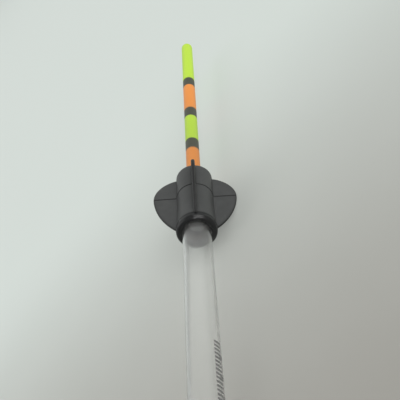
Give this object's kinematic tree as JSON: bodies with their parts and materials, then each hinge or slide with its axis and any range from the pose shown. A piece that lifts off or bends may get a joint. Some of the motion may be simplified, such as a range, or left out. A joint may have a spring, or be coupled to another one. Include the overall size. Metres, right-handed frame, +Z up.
{
  "type": "fishing float",
  "caption": "Clear-bodied stick float for fishing: hollow banded tip that pulls off, black collar with dart fins, clear tube, and a weighted screw base with a swivel line eye.",
  "frame": {"origin": "on the ground below the middle of the float as it lies on two fins and its base", "axes": "+Y along the float towards its tip, +Z up from the ground, +X across it"},
  "size_m": [0.0204, 0.269, 0.0204],
  "materials": {
    "tip_paint": "bright paint in bands of orange, black and yellow-green",
    "collar_plastic": "satin black moulding",
    "clear_plastic": "clear, polished",
    "frosted_plastic": "translucent",
    "black_plastic": "black moulding",
    "black_rubber": "smooth, slightly glossy",
    "brass": "turned",
    "steel": "drawn wire"
  },
  "bodies": {
    "float_body": {"body_tube": "clear_plastic", "antenna_socket": "frosted_plastic", "flight_collar": "collar_plastic", "stop_ring": "black_rubber", "base_plug": "black_plastic", "threaded_insert": "brass", "seal_washer": "black_rubber"},
    "tip": {"antenna_tube": "tip_paint", "antenna_cap": "tip_paint", "antenna_foot": "black_plastic"},
    "weights": {"weight_disc_1": "brass", "weight_disc_2": "brass", "weight_disc_3": "brass"},
    "base_screw": {"base_screw": "brass", "swivel_barrel": "steel"},
    "line_eye": {"line_eye": "steel"}
  },
  "joints": [
    {"name": "tip_pull", "type": "slide", "parent": "float_body", "child": "tip", "axis": [0, 0.9993, 0.0364], "range_m": [0, 0.02]},
    {"name": "weights_slide", "type": "slide", "parent": "float_body", "child": "weights", "axis": [0, -0.9993, -0.0364], "range_m": [0, 0.005]},
    {"name": "screw_turn", "type": "hinge", "parent": "weights", "child": "base_screw", "pos_m": [0, -0.12374, 0.0052], "axis": [0, -0.9993, -0.0364], "range_deg": [0, 3600]},
    {"name": "eye_spin", "type": "hinge", "parent": "base_screw", "child": "line_eye", "pos_m": [0, -0.13209, 0.00489], "axis": [0, 0.9993, 0.0364], "continuous": true}
  ],
  "couplings": [
    {"joint": "screw_turn", "follows": "weights_slide", "rad_per_m": 12566}
  ]
}
